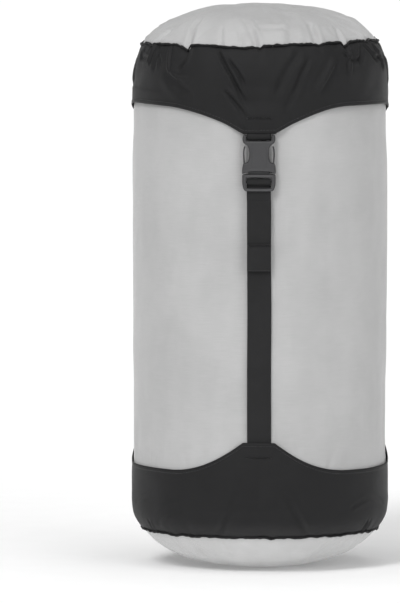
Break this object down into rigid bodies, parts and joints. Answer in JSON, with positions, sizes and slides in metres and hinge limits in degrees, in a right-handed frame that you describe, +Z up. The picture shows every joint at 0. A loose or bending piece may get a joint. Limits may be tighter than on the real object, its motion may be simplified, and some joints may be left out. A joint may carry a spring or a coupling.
{
  "type": "compression sack",
  "caption": "Round fabric stuff sack with a drawcord mouth under a strapped lid, squashed shorter by webbing straps through side-release buckles.",
  "frame": {"origin": "centre of the flat rest face under the base", "axes": "+Z up along the bag's axis, -Y towards the front strap, +X to the right seen from the front"},
  "size_m": [0.2146, 0.2211, 0.472],
  "materials": {
    "pale_cloth": "pale grey ripstop-weight nylon with a faint sheen",
    "dark_cloth": "near-black nylon, matt with a faint sheen",
    "webbing": "black ribbed nylon webbing, matt",
    "buckle": "dark grey moulded acetal with a satin surface",
    "cord": "black braided cord",
    "steel": "bright spring wire"
  },
  "bodies": {
    "base": {"base_panel": "pale_cloth", "base_band": "dark_cloth", "base_binding": "dark_cloth", "bag_body": "pale_cloth", "strap_standing_front": "webbing", "strap_standing_right": "webbing", "strap_standing_left": "webbing"},
    "mouth": {"mouth_collar": "pale_cloth", "mouth_hem": "dark_cloth", "drawcord": "cord", "drawcord_knot": "cord"},
    "cord_lock": {"cord_lock_body": "buckle", "cord_lock_spring": "steel"},
    "lock_button": {"cord_lock_button": "buckle"},
    "lid": {"lid_panel": "pale_cloth", "lid_band": "dark_cloth", "lid_binding": "dark_cloth", "buckle_loop_front": "webbing", "buckle_loop_right": "webbing", "buckle_loop_left": "webbing", "buckle_socket_front": "buckle", "buckle_socket_right": "buckle", "buckle_socket_left": "buckle"},
    "plug_front": {"buckle_plug_front": "buckle", "strap_turn_front": "webbing"},
    "tail_root_front": {"strap_tail_root_front": "webbing"},
    "tail_front": {"strap_tail_front": "webbing"},
    "prong_front_right": {"release_prong_front_right": "buckle"},
    "prong_front_left": {"release_prong_front_left": "buckle"},
    "plug_right": {"buckle_plug_right": "buckle", "strap_turn_right": "webbing"},
    "tail_root_right": {"strap_tail_root_right": "webbing"},
    "tail_right": {"strap_tail_right": "webbing"},
    "prong_right_right": {"release_prong_right_right": "buckle"},
    "prong_right_left": {"release_prong_right_left": "buckle"},
    "plug_left": {"buckle_plug_left": "buckle", "strap_turn_left": "webbing"},
    "tail_root_left": {"strap_tail_root_left": "webbing"},
    "tail_left": {"strap_tail_left": "webbing"},
    "prong_left_right": {"release_prong_left_right": "buckle"},
    "prong_left_left": {"release_prong_left_left": "buckle"}
  },
  "joints": [
    {"name": "compress", "type": "slide", "parent": "base", "child": "mouth", "axis": [0, 0, 1], "range_m": [-0.208, 0], "deforming": ["bag_body", "strap_standing_front", "strap_standing_right", "strap_standing_left"]},
    {"name": "lid_lift", "type": "slide", "parent": "mouth", "child": "lid", "axis": [0, 0, 1], "range_m": [0, 0.13]},
    {"name": "cord_lock_slide", "type": "slide", "parent": "mouth", "child": "cord_lock", "axis": [0, 1, 0], "range_m": [-0.006, 0.004]},
    {"name": "lock_button_press", "type": "slide", "parent": "cord_lock", "child": "lock_button", "axis": [0, 0, 1], "range_m": [-0.003, 0], "stiffness_N_per_m": 200, "springref_m": 0.002, "deforming": ["cord_lock_spring"]},
    {"name": "plug_slide_front", "type": "slide", "parent": "base", "child": "plug_front", "axis": [0, 0, 1], "range_m": [-0.208, 0]},
    {"name": "tail_swing_front", "type": "hinge", "parent": "plug_front", "child": "tail_root_front", "pos_m": [0, -0.1102, 0.321], "axis": [-1, 0, 0], "range_deg": [0, 68]},
    {"name": "tail_slide_front", "type": "slide", "parent": "tail_root_front", "child": "tail_front", "axis": [0, 0, 1], "range_m": [-0.208, 0], "deforming": ["strap_tail_front"]},
    {"name": "prong_press_front_right", "type": "hinge", "parent": "plug_front", "child": "prong_front_right", "pos_m": [0.0115, -0.1102, 0.338], "axis": [0, -1, 0], "range_deg": [0, 5], "stiffness_Nm_per_rad": 0.3, "springref_deg": -5.73},
    {"name": "prong_press_front_left", "type": "hinge", "parent": "plug_front", "child": "prong_front_left", "pos_m": [-0.0115, -0.1102, 0.338], "axis": [0, 1, 0], "range_deg": [0, 5], "stiffness_Nm_per_rad": 0.3, "springref_deg": -5.73},
    {"name": "plug_slide_right", "type": "slide", "parent": "base", "child": "plug_right", "axis": [0, 0, 1], "range_m": [-0.208, 0]},
    {"name": "tail_swing_right", "type": "hinge", "parent": "plug_right", "child": "tail_root_right", "pos_m": [0.09544, 0.0551, 0.321], "axis": [0.5, -0.866, 0], "range_deg": [0, 68]},
    {"name": "tail_slide_right", "type": "slide", "parent": "tail_root_right", "child": "tail_right", "axis": [0, 0, 1], "range_m": [-0.208, 0], "deforming": ["strap_tail_right"]},
    {"name": "prong_press_right_right", "type": "hinge", "parent": "plug_right", "child": "prong_right_right", "pos_m": [0.08969, 0.06506, 0.338], "axis": [0.866, 0.5, 0], "range_deg": [0, 5], "stiffness_Nm_per_rad": 0.3, "springref_deg": -5.73},
    {"name": "prong_press_right_left", "type": "hinge", "parent": "plug_right", "child": "prong_right_left", "pos_m": [0.10119, 0.04514, 0.338], "axis": [-0.866, -0.5, 0], "range_deg": [0, 5], "stiffness_Nm_per_rad": 0.3, "springref_deg": -5.73},
    {"name": "plug_slide_left", "type": "slide", "parent": "base", "child": "plug_left", "axis": [0, 0, 1], "range_m": [-0.208, 0]},
    {"name": "tail_swing_left", "type": "hinge", "parent": "plug_left", "child": "tail_root_left", "pos_m": [-0.09544, 0.0551, 0.321], "axis": [0.5, 0.866, 0], "range_deg": [0, 68]},
    {"name": "tail_slide_left", "type": "slide", "parent": "tail_root_left", "child": "tail_left", "axis": [0, 0, 1], "range_m": [-0.208, 0], "deforming": ["strap_tail_left"]},
    {"name": "prong_press_left_right", "type": "hinge", "parent": "plug_left", "child": "prong_left_right", "pos_m": [-0.10119, 0.04514, 0.338], "axis": [-0.866, 0.5, 0], "range_deg": [0, 5], "stiffness_Nm_per_rad": 0.3, "springref_deg": -5.73},
    {"name": "prong_press_left_left", "type": "hinge", "parent": "plug_left", "child": "prong_left_left", "pos_m": [-0.08969, 0.06506, 0.338], "axis": [0.866, -0.5, 0], "range_deg": [0, 5], "stiffness_Nm_per_rad": 0.3, "springref_deg": -5.73}
  ],
  "couplings": [
    {"joint": "plug_slide_front", "follows": "compress", "ratio": 1},
    {"joint": "tail_swing_front", "follows": "compress", "rad_per_m": -5.7059},
    {"joint": "tail_slide_front", "follows": "compress", "ratio": 1},
    {"joint": "prong_press_front_left", "follows": "prong_press_front_right", "ratio": 1},
    {"joint": "plug_slide_right", "follows": "compress", "ratio": 1},
    {"joint": "tail_swing_right", "follows": "compress", "rad_per_m": -5.7059},
    {"joint": "tail_slide_right", "follows": "compress", "ratio": 1},
    {"joint": "prong_press_right_left", "follows": "prong_press_right_right", "ratio": 1},
    {"joint": "plug_slide_left", "follows": "compress", "ratio": 1},
    {"joint": "tail_swing_left", "follows": "compress", "rad_per_m": -5.7059},
    {"joint": "tail_slide_left", "follows": "compress", "ratio": 1},
    {"joint": "prong_press_left_left", "follows": "prong_press_left_right", "ratio": 1}
  ]
}
